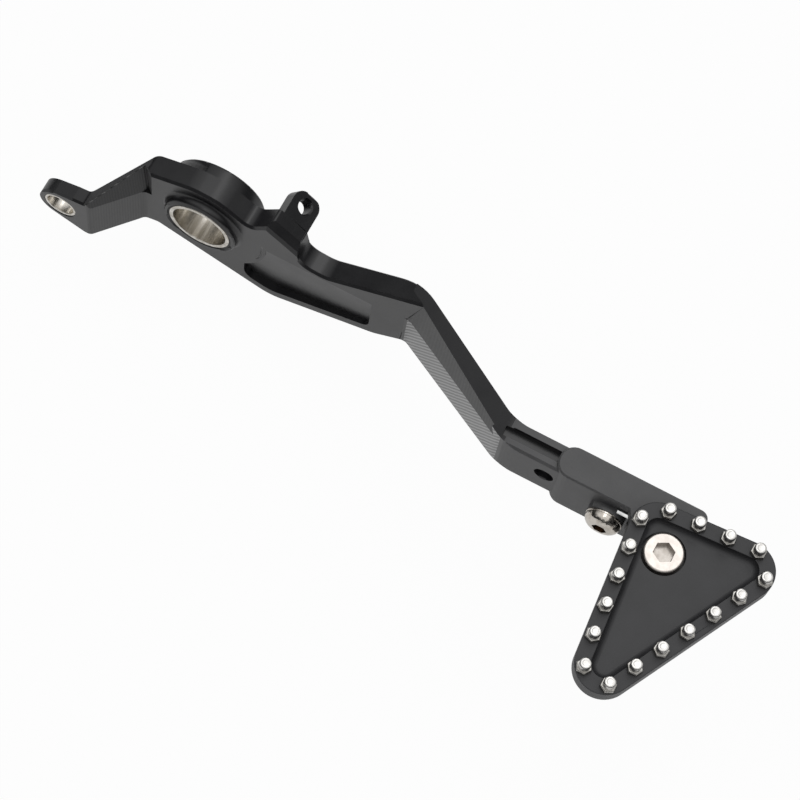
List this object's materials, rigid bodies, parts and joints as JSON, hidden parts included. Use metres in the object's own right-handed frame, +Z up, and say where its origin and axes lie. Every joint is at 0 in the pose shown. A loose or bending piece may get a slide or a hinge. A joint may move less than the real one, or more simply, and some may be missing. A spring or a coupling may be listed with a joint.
{
  "type": "rear brake pedal",
  "caption": "Billet aluminium rear brake pedal: cranked arm, steel pivot bush, push-rod lug, length-adjustable carrier and spring-loaded folding toe plate with grip studs",
  "frame": {"origin": "centre of the pivot bore, halfway along it", "axes": "+X forward along the tongue and carrier, +Y inboard along the pivot axis, +Z up out of the toe plate"},
  "size_m": [0.2769, 0.1162, 0.0802],
  "materials": {
    "anodised_arm": "satin black anodised over a machined surface",
    "anodised_carrier": "bead-blasted black anodised",
    "anodised_plate": "bead-blasted black anodised",
    "bush_steel": "ground and polished",
    "stainless": "polished stainless",
    "stud_steel": "turned stainless",
    "spring_steel": "bright wire",
    "seal_rubber": "matte black"
  },
  "bodies": {
    "pedal": {"pedal_arm": "anodised_arm", "pivot_bush": "bush_steel", "pivot_seal_outboard": "seal_rubber", "pivot_seal_inboard": "seal_rubber", "rod_bush": "bush_steel", "tip_carrier": "anodised_carrier", "clamp_screw": "stainless", "clamp_washer": "stainless", "clamp_nut": "stainless", "toe_pivot_screw": "stainless", "toe_spring": "spring_steel", "stop_pin": "spring_steel"},
    "toe_tip": {"toe_plate": "anodised_plate", "toe_studs": "stud_steel"}
  },
  "joints": [
    {"name": "toe_fold", "type": "hinge", "parent": "pedal", "child": "toe_tip", "pos_m": [0.1876, -0.05135, 0.037], "axis": [0, 0, -1], "range_deg": [0, 60], "stiffness_Nm_per_rad": 0.12, "springref_deg": -57.3}
  ]
}
